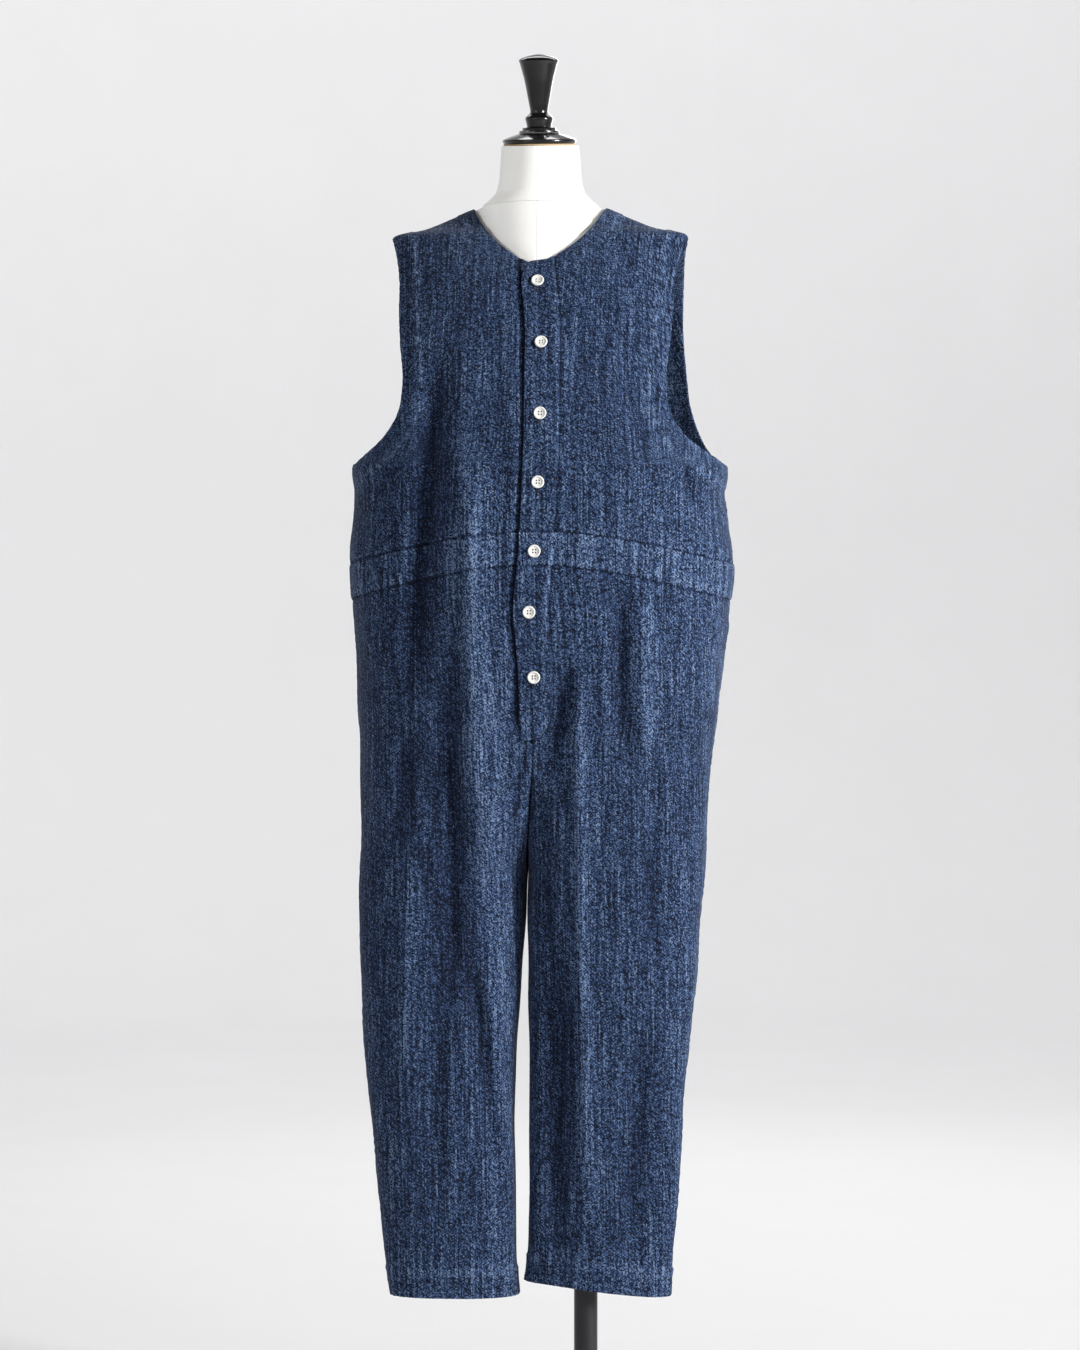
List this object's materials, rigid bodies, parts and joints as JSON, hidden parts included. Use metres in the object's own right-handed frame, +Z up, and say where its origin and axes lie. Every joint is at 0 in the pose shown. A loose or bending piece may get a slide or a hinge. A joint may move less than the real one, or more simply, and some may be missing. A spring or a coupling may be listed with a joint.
{
  "type": "denim jumpsuit on dress form",
  "caption": "Sleeveless denim jumpsuit with buttoned front, V neck and straight legs, worn by a limbless dress form on a pole with a round base.",
  "frame": {"origin": "centre of the base plate's underside, on the pole's axis", "axes": "+Z up, the garment's front towards -Y, +X towards the wearer's left"},
  "size_m": [0.4818, 0.4, 1.6714],
  "materials": {
    "denim": "mid-blue washed denim with slubs, tonal stitching",
    "button": "white four-hole buttons with a raised rim",
    "form_cover": "white cotton cover, stretched smooth",
    "black_gloss": "turned, black gloss",
    "stand_metal": "dark grey enamelled steel"
  },
  "bodies": {
    "root": {"front_bodice_right": "denim", "front_bodice_left": "denim", "back_bodice": "denim", "button_placket": "denim", "waistband_front_right": "denim", "waistband_front_left": "denim", "waistband_back": "denim", "trouser_front_right": "denim", "trouser_front_left": "denim", "trouser_back_right": "denim", "trouser_back_left": "denim", "fly_placket": "denim", "button_1": "button", "button_2": "button", "button_3": "button", "button_4": "button", "button_5": "button", "button_6": "button", "button_7": "button", "form_torso": "form_cover", "form_neck": "form_cover", "neck_cap": "black_gloss", "finial": "black_gloss", "pole_flange": "stand_metal", "pole": "stand_metal", "stand_base": "stand_metal"}
  },
  "joints": []
}
